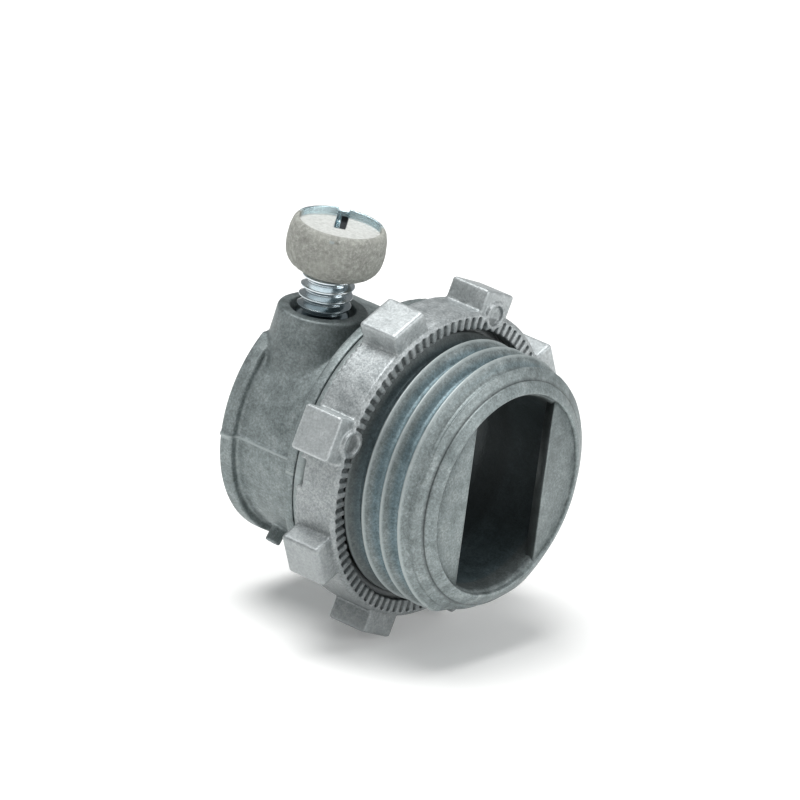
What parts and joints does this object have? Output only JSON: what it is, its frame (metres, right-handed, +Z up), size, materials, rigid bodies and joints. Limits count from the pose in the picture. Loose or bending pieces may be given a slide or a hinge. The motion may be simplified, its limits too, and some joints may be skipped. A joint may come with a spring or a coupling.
{
  "type": "set-screw conduit connector",
  "caption": "Die-cast zinc connector for flexible conduit: flanged barrel with a slotted clamp screw in a side boss, threaded nose with a double-D throat, and a lugged locknut.",
  "frame": {"origin": "on the conduit axis, in the plane of the shoulder that bears on the outside of the box wall", "axes": "+X along the conduit towards the threaded nose, +Z up along the screw boss, +Y across; the clamp screw leans 4.1 degrees from +Z"},
  "size_m": [0.0212, 0.0276, 0.0312],
  "materials": {
    "zinc_casting": "matte die-cast zinc",
    "zinc_locknut": "satin die-cast zinc, lighter than the body",
    "plated_steel": "zinc-plated steel thread with a dull, grainy head"
  },
  "bodies": {
    "casting": {"connector_body": "zinc_casting"},
    "nut_carrier": {"locknut_land": "zinc_locknut"},
    "nut": {"locknut": "zinc_locknut"},
    "screw_carrier": {"clamp_screw_tip": "plated_steel"},
    "screw": {"clamp_screw": "plated_steel"}
  },
  "joints": [
    {"name": "locknut_travel", "type": "slide", "parent": "casting", "child": "nut_carrier", "axis": [1, 0, 0], "range_m": [-0.00014, 0.0114]},
    {"name": "locknut_turn", "type": "hinge", "parent": "nut_carrier", "child": "nut", "pos_m": [0, 0, 0], "axis": [1, 0, 0], "range_deg": [-27.5, 2261.5]},
    {"name": "clamp_screw_travel", "type": "slide", "parent": "casting", "child": "screw_carrier", "axis": [0.056, 0.0445, 0.9974], "range_m": [-0.0028, 0.0018]},
    {"name": "clamp_screw_turn", "type": "hinge", "parent": "screw_carrier", "child": "screw", "pos_m": [-0.0057, -0.0036, 0.01015], "axis": [0.056, 0.0445, 0.9974], "range_deg": [-1271, 817]}
  ],
  "couplings": [
    {"joint": "locknut_travel", "follows": "locknut_turn", "m_per_rad": 0.00028875},
    {"joint": "clamp_screw_turn", "follows": "clamp_screw_travel", "rad_per_m": 7915.8}
  ]
}
